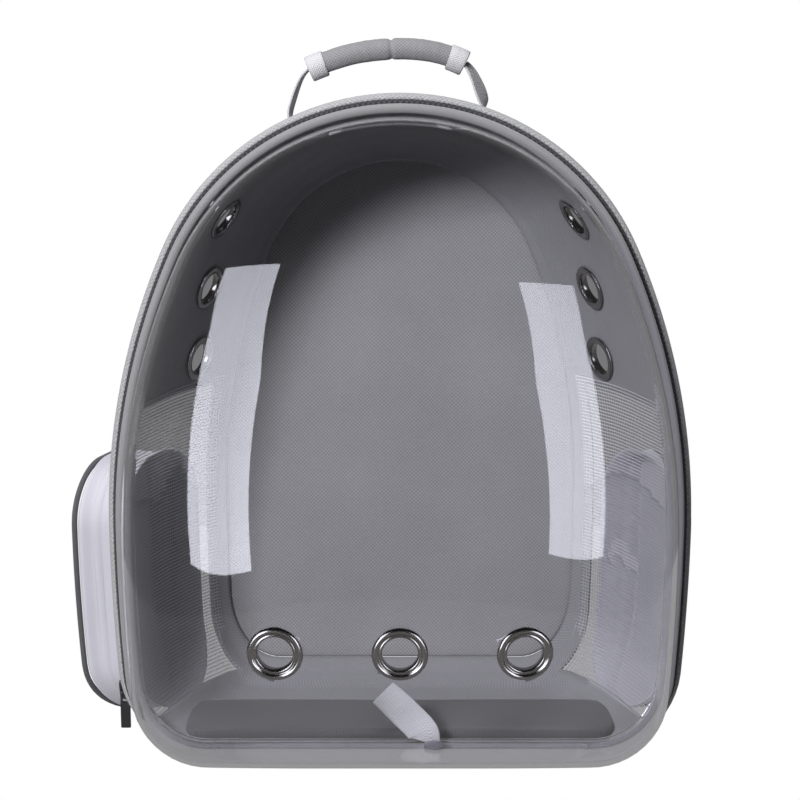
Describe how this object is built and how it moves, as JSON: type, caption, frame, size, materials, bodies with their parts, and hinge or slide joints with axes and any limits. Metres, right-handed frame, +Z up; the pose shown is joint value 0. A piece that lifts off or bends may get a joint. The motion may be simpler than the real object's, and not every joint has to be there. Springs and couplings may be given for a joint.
{
  "type": "bubble pet carrier backpack",
  "caption": "Soft pet carrier backpack with a clear domed front, mesh sides, metal vent eyelets, side pockets and a top handle.",
  "frame": {"origin": "on the base's flat underside, under the middle of the shell's floor", "axes": "+Z up, -Y out of the clear bubble, +Y towards the wearer's back, +X to the right of someone facing the bubble"},
  "size_m": [0.395, 0.2889, 0.452],
  "materials": {
    "clear_sheet": "clear moulded plastic sheet, glossy",
    "oxford_cloth": "grey coated oxford weave, matt",
    "binding_cloth": "grey woven binding, satin",
    "zip_tape": "dark coil zip and tape",
    "mesh_cloth": "light grey open net",
    "pocket_cloth": "light lilac grey cloth",
    "webbing": "light grey ribbed webbing",
    "eyelet_metal": "dark nickel plate, polished",
    "black_plastic": "black plastic"
  },
  "bodies": {
    "bag": {"bubble_dome": "clear_sheet", "corded_band": "oxford_cloth", "cloth_shell": "oxford_cloth", "back_panel": "oxford_cloth", "floor_mat": "oxford_cloth", "handle_grip": "oxford_cloth", "back_pad": "oxford_cloth", "shoulder_strap_left": "oxford_cloth", "shoulder_strap_right": "oxford_cloth", "front_binding": "binding_cloth", "back_piping": "binding_cloth", "pocket_piping_left": "binding_cloth", "pocket_piping_right": "binding_cloth", "rim_zip": "zip_tape", "mesh_panel_left": "mesh_cloth", "mesh_panel_right": "mesh_cloth", "side_pocket_left": "pocket_cloth", "side_pocket_right": "pocket_cloth", "handle_webbing_left": "webbing", "handle_webbing_right": "webbing", "strap_webbing_left": "webbing", "strap_webbing_right": "webbing", "tether_tab": "webbing", "front_eyelet_left": "eyelet_metal", "front_eyelet_middle": "eyelet_metal", "front_eyelet_right": "eyelet_metal", "side_eyelet_left_1": "eyelet_metal", "side_eyelet_left_2": "eyelet_metal", "side_eyelet_left_3": "eyelet_metal", "side_eyelet_right_1": "eyelet_metal", "side_eyelet_right_2": "eyelet_metal", "side_eyelet_right_3": "eyelet_metal", "pocket_slider": "black_plastic", "tether_stud": "black_plastic", "strap_adjuster_left": "black_plastic", "strap_adjuster_right": "black_plastic"},
    "pull": {"pocket_pull": "black_plastic"}
  },
  "joints": [
    {"name": "pull_swing", "type": "hinge", "parent": "bag", "child": "pull", "pos_m": [-0.178, -0.04919, 0.03617], "axis": [1, 0, 0], "range_deg": [-60, 20]}
  ]
}
